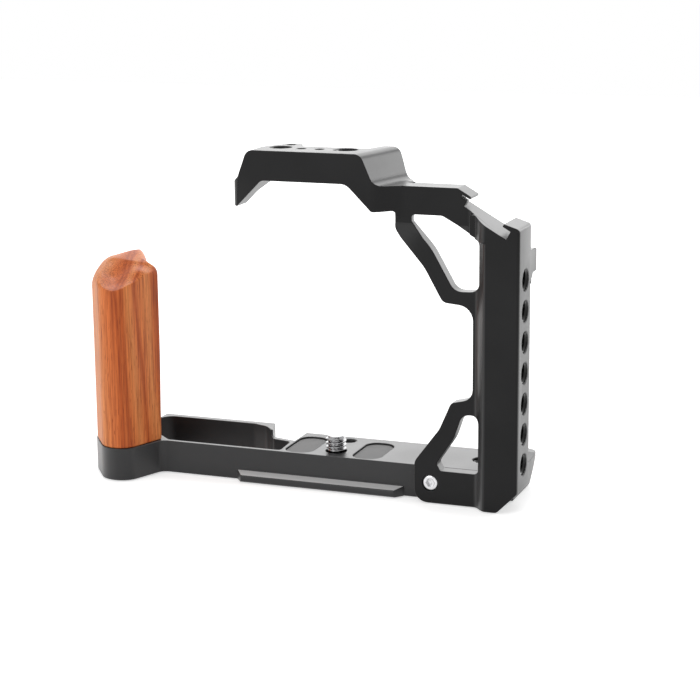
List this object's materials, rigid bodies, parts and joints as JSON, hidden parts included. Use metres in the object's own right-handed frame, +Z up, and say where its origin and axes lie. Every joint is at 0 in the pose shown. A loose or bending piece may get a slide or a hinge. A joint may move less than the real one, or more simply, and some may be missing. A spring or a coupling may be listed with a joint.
{
  "type": "camera cage",
  "caption": "Open metal frame that holds a camera on a slotted base, with threaded side pillar, top bridge, sloping accessory shoe and an upright wooden handle.",
  "frame": {"origin": "middle of the footprint, on the underside of the base", "axes": "+X towards the side face with the accessory holes, +Y away from the lens towards the viewer, +Z up"},
  "size_m": [0.141, 0.038, 0.104],
  "materials": {
    "anodised": "black anodised, fine blasted grain",
    "timber": "oiled red hardwood, straight dark grain",
    "rubber": "matt grey rubber",
    "steel": "bright stainless steel",
    "brass": "turned brass",
    "nylon": "natural nylon"
  },
  "bodies": {
    "root": {"side_frame": "anodised", "base_plate": "anodised", "wood_handle": "timber", "pad_left": "rubber", "pad_right": "rubber", "frame_screw_front": "steel", "frame_screw_back": "steel", "frame_dowel_left": "steel", "frame_dowel_right": "steel", "handle_screw_front": "steel", "handle_screw_back": "steel", "handle_sleeve_front": "brass", "handle_sleeve_back": "brass"},
    "washer": {"screw_washer": "nylon"},
    "screw": {"camera_screw": "steel"}
  },
  "joints": [
    {"name": "screw_travel", "type": "slide", "parent": "root", "child": "washer", "axis": [0, 0, 1], "range_m": [-0.00508, 0]},
    {"name": "screw_spin", "type": "hinge", "parent": "washer", "child": "screw", "pos_m": [0.0086, 0.0017, 0.005], "axis": [0, 0, 1], "range_deg": [-1440, 0]}
  ],
  "couplings": [
    {"joint": "screw_spin", "follows": "screw_travel", "rad_per_m": 4947.4}
  ]
}
